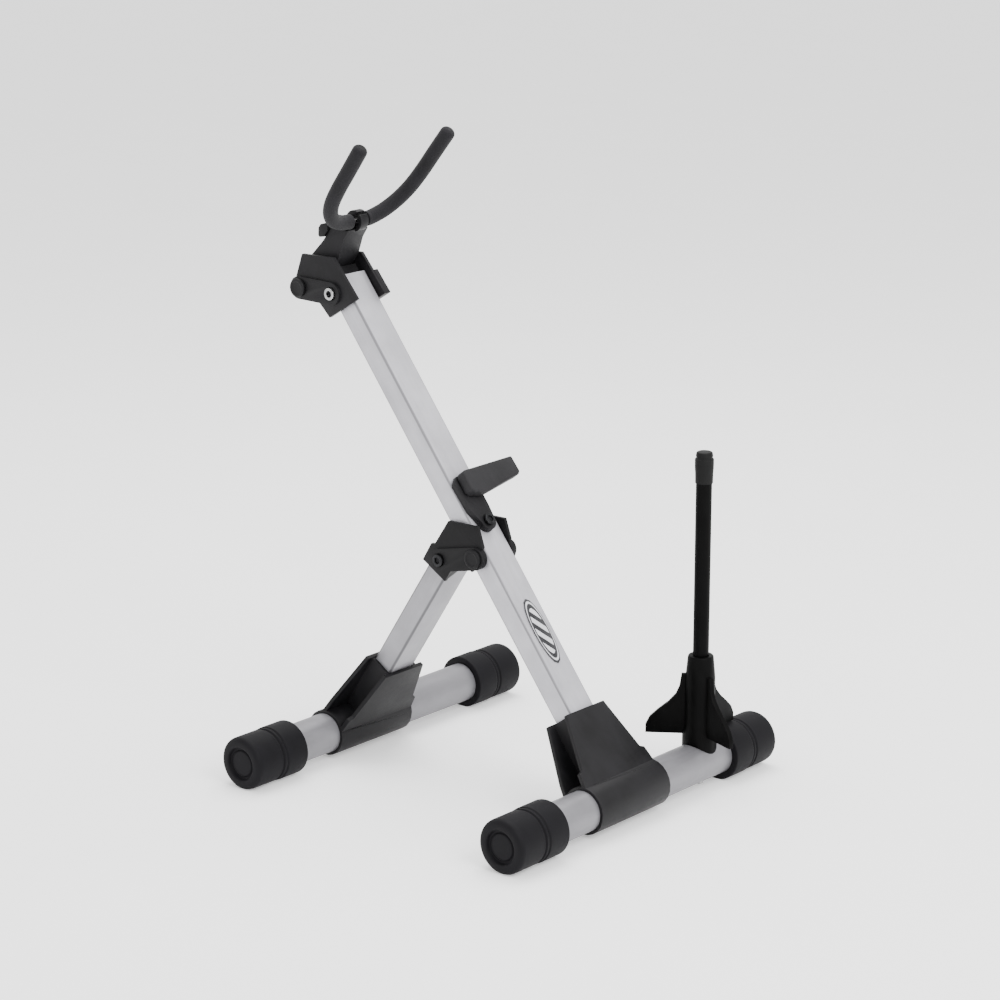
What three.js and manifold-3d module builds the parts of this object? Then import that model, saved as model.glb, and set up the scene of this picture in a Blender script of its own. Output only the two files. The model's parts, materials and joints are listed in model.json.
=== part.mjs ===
// A folding instrument floor stand: a leaning main tube on a T foot, a folding rear leg on a second T foot,
// a rubber-covered yoke on a tilting arm at the top, a swing-out lower rest and a pull-out peg.
// Millimetres, +Z up, +X to the peg's side, -Y to the front.
import * as THREE from "three";
import { mergeVertices } from "three/addons/utils/BufferGeometryUtils.js";
import Module from "manifold-3d";

// ---- Driving dimensions -------------------------------------------------------------------------
const GAP = 0.3; // clearance between pieces that touch
const ROUND = 22; // sides of the large round pieces
const CUT = 1; // how far a cutting solid runs past the face that it cuts

// Stance
const FRONT_FOOT_Y = -166.4;
const REAR_FOOT_Y = 116.2;
const MAIN_LEAN = THREE.MathUtils.degToRad(37.2); // main tube, leaning back from the front foot
const REAR_LEAN = THREE.MathUtils.degToRad(33.0); // rear leg, leaning forward from the rear foot

// Rectangular tube of the main tube and the rear leg
const TUBE = { width: 30, depth: 20, wall: 1.5, corner: 2.2 };
const MAIN_TUBE = { start: 19, end: 484 }; // along the main tube, from the foot's axis
const REAR_TUBE = { start: 19, end: 219.5 };

// Round foot tubes with rubber caps
const FOOT = { radius: 17, wall: 1.5, halfLength: 159, sideways: 21.5 };
const CAP = {
  radius: 22.5,
  collar: 23,
  length: 57.5,
  outer: 167.5,
  round: 6,
  groove: 135.8,
  grooveDepth: 0.9,
};
const CAP_FLAT = 22.2; // height of the foot's axis above the floor, on the caps' moulded flats

// T socket that joins a leg to its foot tube
const SOCKET = { radius: 19.8, halfLength: 44, top: 74.5, topHalf: 23.5, panel: 3.4 };

// Fork brackets: two side plates with a raised bar from the bolt to the pivot
const PLATE = { inner: 15.4, outer: 18.4, bar: 21.2 };
const BAR_RADIUS = 9.6;
const BOLT = { radius: 3, headRadius: 5.2, head: 3, across: 3.1, socketDepth: 2.2 };
const PIN_RADIUS = 4;
const PIVOT_CAP = { radius: 8, height: 2.6 };
const BUSH_RADIUS = 5;

// Places along the main tube (z) and behind its centre line (y)
const KNEE_Z = 222.8; // where the rear leg's fork turns on the main tube
const TOP_BOLT = { y: 4.5, z: 475.4 };
const TOP_PIVOT = { y: 33, z: 497.8 };
const REAR_BOLT_Z = 201.8; // along the rear leg

// Yoke and its arm
const ARM_LEAN = THREE.MathUtils.degToRad(38); // the arm leans forward from upright
const ARM = { halfWidth: 12, length: 75, knuckle: 9, knuckleHalf: 15 };
const CLIP = { near: -2.5, far: 6.5, outer: 8.8, inner: 3.4 };
const WING = { z: 52.7, seat: 9.6, height: 9, halfLength: 8, halfWidth: 14, waist: 4.5 };
const YOKE = { half: 51, reach: 87.4, rod: 3, bore: 3.9, sleeve: 6.3, margin: 4.5, lift: 0.065 };

// Lower rest, on the main tube's front face
const REST = { z: 246.4, x: -1, base: 2, strap: 3.4, pad: 10 };

// Peg on the front foot
const PEG = { x: 108.5, shaft: 6.6, tip: 7.8, bottom: 62.5, top: 287 };

// Badge on the main tube
const BADGE = { z: 146, halfWidth: 9.2, halfHeight: 29.5, thickness: 0.6 };

// ---- Materials ----------------------------------------------------------------------------------
function finish(color, roughness, metalness) {
  return new THREE.MeshStandardMaterial({ color, roughness, metalness });
}
const silver = finish(0xb9b7bd, 0.42, 0.7);
const blackPlastic = finish(0x2b2a2e, 0.55, 0);
const rubber = finish(0x252427, 0.8, 0);
const foam = finish(0x3a393d, 0.9, 0);
const zinc = finish(0xb4b4b4, 0.35, 1);
const blackSteel = finish(0x202022, 0.4, 0.8);
const nylon = finish(0xd8d4c8, 0.6, 0);
const label = finish(0x151515, 0.4, 0);

// ---- Solids -------------------------------------------------------------------------------------
const wasm = await Module();
wasm.setup();

// A closed geometry as a solid that can be joined and cut. A profile may run either way round, so a
// solid that comes out with its faces inwards is turned the right way out.
function solid(geometry) {
  const bare = geometry.clone();
  bare.deleteAttribute("normal");
  bare.deleteAttribute("uv");
  const merged = mergeVertices(bare, 1e-4);
  const vertProperties = merged.attributes.position.array;
  const triVerts = new Uint32Array(merged.index.array);
  const made = new wasm.Manifold(new wasm.Mesh({ numProp: 3, vertProperties, triVerts }));
  if (made.volume() > 0) return made;
  triVerts.reverse();
  return new wasm.Manifold(new wasm.Mesh({ numProp: 3, vertProperties, triVerts }));
}

function geometryOf(made) {
  const { vertProperties, triVerts } = made.getMesh();
  const geometry = new THREE.BufferGeometry();
  geometry.setAttribute("position", new THREE.BufferAttribute(vertProperties, 3));
  geometry.setIndex(new THREE.BufferAttribute(triVerts, 1));
  geometry.computeVertexNormals();
  return geometry;
}

function put(parent, name, made, material) {
  const mesh = new THREE.Mesh(geometryOf(made), material);
  mesh.name = name;
  parent.add(mesh);
  return mesh;
}

// A box from one corner to the other.
function box(low, high) {
  const [x0, y0, z0] = low;
  const [x1, y1, z1] = high;
  const geometry = new THREE.BoxGeometry(x1 - x0, y1 - y0, z1 - z0);
  return solid(geometry.translate((x0 + x1) / 2, (y0 + y1) / 2, (z0 + z1) / 2));
}

// A round bar between two places along X, centred on (y, z).
function barX(radius, x0, x1, y, z, sides = 16) {
  const geometry = new THREE.CylinderGeometry(radius, radius, x1 - x0, sides);
  return solid(geometry.rotateY(Math.PI / sides).rotateZ(-Math.PI / 2).translate((x0 + x1) / 2, y, z));
}

// A round bar between two places along Y, centred on (x, z).
function barY(radius, y0, y1, x, z, sides = 16) {
  const geometry = new THREE.CylinderGeometry(radius, radius, y1 - y0, sides);
  return solid(geometry.translate(x, (y0 + y1) / 2, z));
}

// A round bar between two heights, centred on (x, y).
function barZ(radius, z0, z1, x, y, sides = 16) {
  const geometry = new THREE.CylinderGeometry(radius, radius, z1 - z0, sides);
  return solid(geometry.rotateX(Math.PI / 2).translate(x, y, (z0 + z1) / 2));
}

// A closed profile of (radius, height) points turned round Z.
function turned(profile, sides = 32) {
  const points = profile.map(([r, h]) => new THREE.Vector2(r, h));
  return solid(new THREE.LatheGeometry(points, sides).rotateX(Math.PI / 2));
}

function outline(points) {
  return new THREE.Shape(points.map(([a, b]) => new THREE.Vector2(a, b)));
}

const alongX = new THREE.Matrix4().makeBasis(
  new THREE.Vector3(0, 1, 0),
  new THREE.Vector3(0, 0, 1),
  new THREE.Vector3(1, 0, 0),
);
const alongY = new THREE.Matrix4().makeBasis(
  new THREE.Vector3(0, 0, 1),
  new THREE.Vector3(1, 0, 0),
  new THREE.Vector3(0, 1, 0),
);

// A (y, z) outline with thickness from x0 to x1.
function sheetX(shape, x0, x1) {
  const flat = new THREE.ExtrudeGeometry(shape, { depth: x1 - x0, bevelEnabled: false, curveSegments: 8 });
  return solid(flat.applyMatrix4(alongX).translate(x0, 0, 0));
}

// A (z, x) outline with thickness from y0 to y1.
function sheetY(shape, y0, y1) {
  const flat = new THREE.ExtrudeGeometry(shape, { depth: y1 - y0, bevelEnabled: false, curveSegments: 8 });
  return solid(flat.applyMatrix4(alongY).translate(0, y0, 0));
}

// An (x, z) outline with thickness from y0 to y1.
function panelY(points, y0, y1) {
  return sheetY(outline(points.map(([x, z]) => [z, x])), y0, y1);
}

function roundedRectangle(width, depth, corner) {
  const x = width / 2 - corner;
  const y = depth / 2 - corner;
  const shape = new THREE.Shape();
  shape.absarc(x, y, corner, 0, Math.PI / 2);
  shape.absarc(-x, y, corner, Math.PI / 2, Math.PI);
  shape.absarc(-x, -y, corner, Math.PI, 1.5 * Math.PI);
  shape.absarc(x, -y, corner, 1.5 * Math.PI, 2 * Math.PI);
  return shape;
}

function rectangularBar(width, depth, corner, z0, z1) {
  const section = roundedRectangle(width, depth, corner);
  const along = { depth: z1 - z0, bevelEnabled: false, curveSegments: 2 };
  return solid(new THREE.ExtrudeGeometry(section, along).translate(0, 0, z0));
}

const mirrorX = (made) => made.mirror([1, 0, 0]);
const join = (pieces) => pieces.reduce((whole, piece) => whole.add(piece));
const cut = (whole, pieces) => pieces.reduce((left, piece) => left.subtract(piece), whole);

// ---- Groups -------------------------------------------------------------------------------------
// A leg's group has its origin on its foot's axis and its Z along the tube.
const stand = new THREE.Group();

function group(parent, y, z, lean) {
  const made = new THREE.Group();
  made.position.set(0, y, z);
  made.rotation.x = lean;
  parent.add(made);
  return made;
}

const frontFoot = group(stand, FRONT_FOOT_Y, CAP_FLAT, 0);
const rearFoot = group(stand, REAR_FOOT_Y, CAP_FLAT, 0);
const mainLeg = group(stand, FRONT_FOOT_Y, CAP_FLAT, -MAIN_LEAN);
const rearLeg = group(stand, REAR_FOOT_Y, CAP_FLAT, REAR_LEAN);
const arm = group(mainLeg, TOP_PIVOT.y, TOP_PIVOT.z, MAIN_LEAN + ARM_LEAN);
const yoke = group(arm, 0, ARM.length, 0);

// The knee's pivot, which lies on the main tube's centre line, in the rear leg's group.
stand.updateMatrixWorld(true);
const knee = rearLeg.worldToLocal(mainLeg.localToWorld(new THREE.Vector3(0, 0, KNEE_Z)));

// ---- Tubes --------------------------------------------------------------------------------------
function rectangularTube({ start, end }, holes) {
  const inner = 2 * TUBE.wall;
  const outside = rectangularBar(TUBE.width, TUBE.depth, TUBE.corner, start, end);
  const inside = rectangularBar(
    TUBE.width - inner,
    TUBE.depth - inner,
    TUBE.corner - TUBE.wall,
    start - CUT,
    end + CUT,
  );
  return cut(outside, [inside, ...holes]);
}

const acrossTube = TUBE.width / 2 + CUT;
const SCREW = { radius: 2, headRadius: 4, head: 2.2, z: 46, length: 9 };

put(
  mainLeg,
  "main_tube",
  rectangularTube(MAIN_TUBE, [
    barX(BUSH_RADIUS + GAP, -acrossTube, acrossTube, 0, KNEE_Z),
    barX(BOLT.radius + GAP, -acrossTube, acrossTube, TOP_BOLT.y, TOP_BOLT.z),
    barY(4.5, -TUBE.depth / 2 - CUT, 0, REST.x, REST.z),
    barY(SCREW.radius + GAP, 0, TUBE.depth / 2 + CUT, 0, SCREW.z),
  ]),
  silver,
);
put(
  rearLeg,
  "rear_tube",
  rectangularTube(REAR_TUBE, [
    barX(BOLT.radius + GAP, -acrossTube, acrossTube, 0, REAR_BOLT_Z),
    barY(SCREW.radius + GAP, 0, TUBE.depth / 2 + CUT, 0, SCREW.z),
  ]),
  silver,
);

function footTube(holes) {
  const x0 = FOOT.sideways - FOOT.halfLength;
  const x1 = FOOT.sideways + FOOT.halfLength;
  const outside = barX(FOOT.radius, x0, x1, 0, 0, ROUND);
  return cut(outside, [barX(FOOT.radius - FOOT.wall, x0 - CUT, x1 + CUT, 0, 0, ROUND), ...holes]);
}

const throughFoot = FOOT.radius + CUT;
put(
  frontFoot,
  "front_foot_tube",
  footTube([barZ(SCREW.radius + GAP, -throughFoot, throughFoot, PEG.x, 0, 16)]),
  silver,
);
put(rearFoot, "rear_foot_tube", footTube([]), silver);

// ---- Rubber foot caps ---------------------------------------------------------------------------
// A cap's profile runs from its mouth, at height 0, to its domed end.
function footCap() {
  const { radius, collar, length, round, grooveDepth } = CAP;
  const bore = FOOT.radius + GAP;
  const floor = length - (CAP.outer - FOOT.halfLength) + GAP;
  const groove = length - (CAP.outer - CAP.groove);
  const dome = [1, 2, 3].map((step) => {
    const turn = (step / 3) * (Math.PI / 2);
    return [radius - round + round * Math.cos(turn), length - round + round * Math.sin(turn)];
  });
  const profile = [
    [bore, 0],
    [collar - 1.6, 0],
    [collar, 1.6],
    [collar, groove - 2],
    [radius - grooveDepth, groove],
    [radius, groove + 2],
    [radius, length - round],
    ...dome,
    [0, length],
    [0, floor],
    [bore, floor],
    [bore, 0],
  ];
  const flat = box([-40, -40, 0 - CUT], [40, -CAP_FLAT, length + CUT]);
  return turned(profile, ROUND).subtract(flat);
}

for (const [place, parent] of [
  ["front", frontFoot],
  ["rear", rearFoot],
]) {
  for (const [side, hand] of [
    ["left", -1],
    ["right", 1],
  ]) {
    const upright = new THREE.Matrix4().makeBasis(
      new THREE.Vector3(0, hand, 0),
      new THREE.Vector3(0, 0, 1),
      new THREE.Vector3(hand, 0, 0),
    );
    const cap = put(parent, `${place}_cap_${side}`, footCap(), rubber);
    cap.geometry.applyMatrix4(upright);
    cap.position.x = FOOT.sideways + hand * (CAP.outer - CAP.length);
  }
}

// ---- T sockets ----------------------------------------------------------------------------------
function socket() {
  const { radius, halfLength, top, topHalf, panel } = SOCKET;
  const sleeveX = TUBE.width / 2 + 2.8;
  const face = TUBE.depth / 2 + panel;
  const frontPanel = [
    [-topHalf, top],
    [topHalf, top],
    [37, 29],
    [41.5, 27],
    [halfLength, 14],
    [halfLength, 0],
    [-halfLength, 0],
    [-halfLength, 14],
    [-41.5, 27],
    [-37, 29],
  ];
  const rearPanel = [
    [-topHalf, top],
    [topHalf, top],
    [41, 27],
    [halfLength, 14],
    [halfLength, 0],
    [-halfLength, 0],
    [-halfLength, 14],
    [-41, 27],
  ];
  const body = join([
    barX(radius, -halfLength, halfLength, 0, 0, ROUND),
    box([-sleeveX, -face + 0.4, 0], [sleeveX, face - 0.4, top - 0.8]),
    panelY(frontPanel, -face, -face + panel),
    panelY(rearPanel, face - panel, face),
  ]);
  const tubeHole = rectangularBar(
    TUBE.width + 2 * GAP,
    TUBE.depth + 2 * GAP,
    TUBE.corner,
    MAIN_TUBE.start - GAP,
    top + CUT,
  );
  return cut(body, [
    barX(FOOT.radius + GAP, -halfLength - CUT, halfLength + CUT, 0, 0, ROUND),
    tubeHole,
    barY(SCREW.radius + GAP, 0, face + CUT, 0, SCREW.z),
  ]);
}

// A pan-head screw that holds the leg tube in its socket, from behind.
function socketScrew() {
  const face = TUBE.depth / 2 + SOCKET.panel + GAP;
  const shank = barY(SCREW.radius, face - SCREW.length, face + 0.5, 0, SCREW.z, 16);
  const head = barY(SCREW.headRadius, face, face + SCREW.head, 0, SCREW.z, 20);
  const drive = box(
    [-0.6, face + SCREW.head - 1, SCREW.z - SCREW.headRadius],
    [0.6, face + SCREW.head + CUT, SCREW.z + SCREW.headRadius],
  );
  return shank.add(head).subtract(drive);
}

put(mainLeg, "front_socket", socket(), blackPlastic);
put(rearLeg, "rear_socket", socket(), blackPlastic);
put(mainLeg, "front_socket_screw", socketScrew(), zinc);
put(rearLeg, "rear_socket_screw", socketScrew(), zinc);

// ---- Fork brackets ------------------------------------------------------------------------------
// One side of a fork, on the +X side: a plate, its raised bar and the lip round the tube's corner.
function forkSide({ plate, bolt, pivot, lip }) {
  const [by, bz] = bolt;
  const [py, pz] = pivot;
  const turn = Math.atan2(pz - bz, py - by);
  const bar = new THREE.Shape();
  bar.absarc(py, pz, BAR_RADIUS, turn - Math.PI / 2, turn + Math.PI / 2);
  bar.absarc(by, bz, BAR_RADIUS, turn + Math.PI / 2, turn + 1.5 * Math.PI);
  const [y0, y1] = [Math.min(lip.face, lip.back), Math.max(lip.face, lip.back)];
  return join([
    sheetX(outline(plate), PLATE.inner, PLATE.outer),
    sheetX(bar, PLATE.inner, PLATE.bar),
    panelY(
      [
        [PLATE.outer, lip.bottom],
        [PLATE.outer, lip.top],
        [6.4, lip.top],
        [6.4, lip.bottom + 9],
      ],
      y0,
      y1,
    ),
  ]);
}

function fork(shape) {
  const side = forkSide(shape);
  const far = PLATE.bar + 3;
  const stop = sheetX(outline(shape.stop), -PLATE.inner - 0.5, PLATE.inner + 0.5);
  const [by, bz] = shape.bolt;
  const [py, pz] = shape.pivot;
  const pieces = [side, mirrorX(side), stop];
  if (shape.nutBlock) pieces.push(sheetX(outline(shape.nutBlock), PLATE.outer - 0.5, PLATE.bar + 1.4));
  return cut(join(pieces), [
    barX(BOLT.radius + GAP, -far, far, by, bz, 16),
    barX(PIN_RADIUS + GAP, -far, far, py, pz),
    barX(BOLT.headRadius + 0.7, -far, -PLATE.bar + 1.2, by, bz),
    barX(BOLT.headRadius + 0.7, PLATE.bar - 1.2, far, by, bz),
  ]);
}

// The stop across the fork, between the end of its tube and the piece that turns in the fork.
function forkStop(tubeEnd, y0, y1, face) {
  const floor = tubeEnd + GAP;
  return [
    [y0, floor],
    [y1, floor],
    [y1, face(y1)],
    [y0, face(y0)],
  ];
}

// A straight line through (y, z) at an angle from Z, moved sideways by an offset: z for a given y.
function lineAt(y, z, angle, offset) {
  const slope = Math.cos(angle) / Math.sin(angle);
  return (at) => z + (at - y) * slope - offset / Math.sin(Math.abs(angle));
}

const kneeAngle = MAIN_LEAN + REAR_LEAN;
const mainTubeBack = lineAt(knee.y, knee.z, kneeAngle, TUBE.depth / 2 + 0.5);
const kneeFork = {
  bolt: [0, REAR_BOLT_Z],
  pivot: [knee.y, knee.z],
  plate: [
    [14.8, 188],
    [15.4, 206],
    [12.3, 208],
    [11.8, 235],
    [-14, 252.6],
    [-28, 241.7],
    [-28, 221],
    [-13.2, 206],
    [-13.2, 189],
  ],
  lip: { face: -TUBE.depth / 2 - GAP, back: -13.2, bottom: 189, top: 212 },
  stop: forkStop(REAR_TUBE.end, -12, 11.8, mainTubeBack),
};
const armAngle = -(MAIN_LEAN + ARM_LEAN);
const armUnderside = lineAt(TOP_PIVOT.y, TOP_PIVOT.z, armAngle, ARM.knuckle + 3.5);
const topFork = {
  bolt: [TOP_BOLT.y, TOP_BOLT.z],
  pivot: [TOP_PIVOT.y, TOP_PIVOT.z],
  plate: [
    [-16.6, 457.5],
    [20.2, 461],
    [24, 486],
    [33, 488.5],
    [32, 508],
    [14.5, 519.4],
    [-14.6, 498.6],
  ],
  lip: { face: TUBE.depth / 2 + GAP, back: 13.2, bottom: 460.5, top: 482 },
  nutBlock: [
    [-16.6, 457.5],
    [16, 460.6],
    [16, 486],
    [-15.7, 480.5],
  ],
  stop: forkStop(MAIN_TUBE.end, -3, 11.8, armUnderside),
};
put(rearLeg, "knee_fork", fork(kneeFork), blackPlastic);
put(mainLeg, "top_fork", fork(topFork), blackPlastic);

// A socket-head bolt across a fork, with its head on the -X side.
function forkBolt(y, z) {
  const seat = -PLATE.bar + 1.2 - GAP;
  const head = barX(BOLT.headRadius, seat - BOLT.head, seat, y, z);
  const shank = barX(BOLT.radius, seat - 0.5, PLATE.bar + 2.6, y, z, 16);
  const hexagon = barX(BOLT.across, seat - BOLT.head - CUT, seat - BOLT.head + BOLT.socketDepth, y, z, 6);
  return head.add(shank).subtract(hexagon);
}

function forkNut(y, z) {
  const seat = PLATE.bar - 1.2 + GAP;
  const nut = barX(BOLT.headRadius + 0.4, seat, seat + 4.4, y, z, 6);
  return nut.subtract(barX(BOLT.radius + GAP, seat - CUT, seat + 4.4 + CUT, y, z, 16));
}

put(rearLeg, "knee_bolt", forkBolt(...kneeFork.bolt), blackSteel);
put(rearLeg, "knee_nut", forkNut(...kneeFork.bolt), blackSteel);
put(mainLeg, "top_bolt", forkBolt(...topFork.bolt), zinc);
put(mainLeg, "top_nut", forkNut(...topFork.bolt), zinc);

// Each pivot is a pin, with a domed plastic cap over each of its ends.
function pivotCap(hand) {
  const { radius, height } = PIVOT_CAP;
  const cap = turned(
    [
      [0, 0],
      [radius, 0],
      [radius, height - 1.4],
      [radius - 1.4, height - 0.3],
      [0, height],
    ],
    20,
  );
  const outward = new THREE.Matrix4().makeRotationY((hand * Math.PI) / 2);
  return solid(geometryOf(cap).applyMatrix4(outward));
}

for (const [name, parent, [y, z]] of [
  ["knee", rearLeg, kneeFork.pivot],
  ["top", mainLeg, topFork.pivot],
]) {
  put(parent, `${name}_pivot_pin`, barX(PIN_RADIUS, -PLATE.bar, PLATE.bar, y, z), zinc);
  for (const [side, hand] of [
    ["left", -1],
    ["right", 1],
  ]) {
    const cap = put(parent, `${name}_pivot_cap_${side}`, pivotCap(hand), blackPlastic);
    cap.position.set(hand * (PLATE.bar + GAP), y, z);
  }
}

// Plain bush in the main tube, which the knee's pin turns in.
const bushEnd = TUBE.width / 2;
put(
  mainLeg,
  "knee_bush",
  cut(barX(BUSH_RADIUS, -bushEnd, bushEnd, 0, KNEE_Z), [
    barX(PIN_RADIUS + GAP, -acrossTube, acrossTube, 0, KNEE_Z),
  ]),
  nylon,
);

// ---- Yoke arm and its clip ----------------------------------------------------------------------
function yokeArm() {
  const { halfWidth, length, knuckle, knuckleHalf } = ARM;
  const side = [
    [-knuckle - 3, 8],
    [-knuckle - 3, 46],
    [-7, 61],
    [-6, length],
    [6, length],
    [WING.seat - GAP, 60],
    [WING.seat - GAP, 44],
    [11.6, 26],
    [knuckle - 1, 0],
    [-knuckle + 1, 0],
  ];
  const body = join([
    barX(knuckle, -knuckleHalf, knuckleHalf, 0, 0, 32),
    sheetX(outline(side), -halfWidth, halfWidth),
  ]);
  // The arm ends short of the yoke, and only the clip reaches round its rod.
  const across = 40;
  const clearance = YOKE.sleeve + 1;
  const ring = barX(CLIP.outer, CLIP.near, CLIP.far, 0, length, 32);
  const mouth = box([CLIP.near - CUT, -1.6, length], [CLIP.far + CUT, 1.6, length + 2 * CLIP.outer]);
  const trimmed = cut(body, [
    barX(clearance, -across, CLIP.near, 0, length, 28),
    barX(clearance, CLIP.far, across, 0, length, 28),
  ]);
  return cut(trimmed.add(ring), [
    barX(CLIP.inner, -across, across, 0, length, 24),
    barX(PIN_RADIUS + GAP, -across, across, 0, 0, 24),
    mouth,
    barY(SCREW.radius + GAP, -4, across, 0, WING.z, 16),
  ]);
}

// Wing screw that locks the clip, on the arm's upper side: two wings with a waist between them.
function wingScrew() {
  const { z, seat, height, halfLength, halfWidth, waist } = WING;
  const stem = barY(SCREW.radius, -2, seat + 2, 0, z, 16);
  const side = [
    [seat, z - 3.5],
    [seat, z + 3.5],
    [seat + 3.4, z + halfLength],
    [seat + 5.4, z + halfLength - 0.6],
    [seat + height, z + 2.4],
    [seat + height, z - 1.6],
    [seat + 5.4, z - halfLength + 1.2],
    [seat + 3.4, z - halfLength + 0.8],
  ];
  const gap = box([-waist, seat + 3, z - 20], [waist, seat + 20, z + 20]);
  return cut(stem.add(sheetX(outline(side), -halfWidth, halfWidth)), [gap]);
}

put(arm, "yoke_arm", yokeArm(), blackPlastic);
put(arm, "yoke_wing_screw", wingScrew(), blackPlastic);

// ---- Yoke ---------------------------------------------------------------------------------------
// Half of the yoke's centre line, from the clip outwards, on one side. The rod is bent by hand over a
// form, and its right half lies a little higher than its left.
function yokeLine(hand, from) {
  const { half, reach, lift } = YOKE;
  const places = [
    [from, 0],
    [(from + 17) / 2, 0],
    [17, 0.6],
    [29, 6],
    [39, 16],
    [45.5, 29],
    [48.5, 45],
    [half - 1.2, 68],
    [half, reach],
  ];
  const rise = (x) => hand * lift * Math.max(0, x - 17);
  const line = places.map(([x, z]) => new THREE.Vector3(hand * x, 0, z + rise(x)));
  return new THREE.CatmullRomCurve3(line);
}

function circle(radius, hole) {
  const shape = new THREE.Shape();
  shape.absarc(0, 0, radius, 0, 2 * Math.PI);
  if (hole) shape.holes.push(new THREE.Path().absarc(0, 0, hole, 0, 2 * Math.PI));
  return shape;
}

function swept(curve, section, steps, curveSegments) {
  const along = { extrudePath: curve, steps, curveSegments, bevelEnabled: false };
  return solid(new THREE.ExtrudeGeometry(section, along));
}

// The steel rod runs from tip to tip through the clip, inside the two sleeves.
function yokeRod() {
  const right = yokeLine(1, 0).getPoints(20);
  const left = yokeLine(-1, 0).getPoints(20).slice(1).reverse();
  return swept(new THREE.CatmullRomCurve3([...left, ...right]), circle(YOKE.rod), 26, 3);
}

function yokeTip() {
  const { sleeve, rod } = YOKE;
  const dome = [0, 1, 2, 3, 4].map((step) => {
    const turn = (step / 4) * (Math.PI / 2);
    return [1.6 + (sleeve - 1.6) * Math.cos(turn), 2 + (sleeve - 2) * Math.sin(turn)];
  });
  return turned(
    [
      [0, GAP],
      [rod, GAP],
      [sleeve, GAP],
      ...dome,
      [1.2, sleeve - 1.6],
      [0, sleeve - 1.6],
      [0, GAP],
    ],
    16,
  );
}

put(yoke, "yoke_rod", yokeRod(), zinc);
for (const [side, hand, from] of [
  ["left", -1, YOKE.margin - CLIP.near],
  ["right", 1, YOKE.margin + CLIP.far],
]) {
  const sleeve = swept(yokeLine(hand, from), circle(YOKE.sleeve, YOKE.bore), 14, 5);
  put(yoke, `yoke_sleeve_${side}`, sleeve, foam);
  const tip = put(yoke, `yoke_tip_${side}`, yokeTip(), foam);
  const line = yokeLine(hand, from);
  const end = line.getPoint(1);
  const heading = line.getTangent(1);
  tip.position.copy(end);
  tip.rotation.y = Math.atan2(heading.x, heading.z);
}

// ---- Lower rest ---------------------------------------------------------------------------------
const face = -TUBE.depth / 2 - GAP; // just in front of the main tube
const strapFace = face - REST.base - GAP;
const padFace = strapFace - REST.strap - GAP;

function restPlate(round, top, y0, y1, left, right) {
  const shape = new THREE.Shape();
  shape.absarc(REST.z, REST.x, round, Math.PI / 2, 1.5 * Math.PI);
  shape.lineTo(REST.z + 12, left);
  shape.lineTo(top - 5, left - 2);
  shape.lineTo(top, left + 3);
  shape.lineTo(top, right);
  shape.lineTo(REST.z + 12, right);
  return sheetY(shape, y0, y1).subtract(barY(2.8, y0 - CUT, y1 + CUT, REST.x, REST.z, 20));
}

put(mainLeg, "rest_base", restPlate(8.5, 288, face - REST.base, face, -14, 9), blackPlastic);
put(mainLeg, "rest_arm", restPlate(8.2, 289, strapFace - REST.strap, strapFace, -14.5, 8.2), blackPlastic);

const padOutline = [
  [-12.5, 287],
  [-9.5, 290],
  [50, 290.5],
  [50.8, 275.5],
  [48, 273.5],
  [4, 267],
  [-10, 270],
  [-12.5, 273],
];
put(mainLeg, "rest_pad", panelY(padOutline, padFace - REST.pad, padFace), rubber);

function restBolt() {
  const seat = padFace;
  const head = barY(5, seat - 2.8, seat, REST.x, REST.z, 20);
  const shank = barY(2.5, seat - 0.5, -1, REST.x, REST.z, 20);
  const hexagon = barY(BOLT.across, seat - 2.8 - CUT, seat - 1.1, REST.x, REST.z, 6);
  return head.add(shank).subtract(hexagon);
}

put(mainLeg, "rest_bolt", restBolt(), blackSteel);
put(
  mainLeg,
  "rest_insert",
  barY(4.2, -9.8, 1, REST.x, REST.z, 20).subtract(barY(2.8, -12, 2, REST.x, REST.z, 20)),
  zinc,
);

// ---- Badge --------------------------------------------------------------------------------------
const oval = new THREE.Shape();
oval.absellipse(BADGE.z, 0, BADGE.halfHeight, BADGE.halfWidth, 0, 2 * Math.PI);
put(mainLeg, "badge", sheetY(oval, face - BADGE.thickness, face), label);

// ---- Peg and its holder, on the front foot ------------------------------------------------------
const FIN_TURNS = [0, 125, 252].map(THREE.MathUtils.degToRad);
const FIN_THICKNESS = 4;
const pegGroup = group(stand, FRONT_FOOT_Y, 0, 0);
pegGroup.position.x = PEG.x;

function pegHolder() {
  const hub = turned(
    [
      [0, 30],
      [14.5, 30],
      [14.5, 45],
      [12.6, 52],
      [12.4, 96],
      [10.8, 113],
      [10.2, 114.3],
      [0, 114.3],
    ],
    24,
  );
  const fin = outline([
    [5, 98],
    [15.6, 98],
    [17.2, 87],
    [20.2, 80],
    [26.2, 73.2],
    [34.5, 66.4],
    [41.4, 59.8],
    [44.8, 53],
    [44.8, 46.2],
    [5, 46.2],
  ]);
  const blade = new THREE.ExtrudeGeometry(fin, { depth: FIN_THICKNESS, bevelEnabled: false })
    .translate(0, 0, -FIN_THICKNESS / 2)
    .rotateX(Math.PI / 2);
  const fins = FIN_TURNS.map((turn) => solid(blade.clone().rotateZ(turn)));
  const whole = join([hub, ...fins]);
  return cut(whole, [
    barX(FOOT.radius + GAP, -60, 60, 0, CAP_FLAT, ROUND),
    barZ(PEG.shaft + GAP, PEG.bottom - GAP, 120, 0, 0),
    barZ(SCREW.radius + GAP, 20, 58, 0, 0, 16),
  ]);
}

function pegScrew() {
  const under = CAP_FLAT - FOOT.radius - GAP;
  const head = barZ(SCREW.headRadius, under - SCREW.head, under, 0, 0, 16);
  const shank = barZ(SCREW.radius, under - 0.5, 57, 0, 0, 16);
  return head.add(shank);
}

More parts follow.
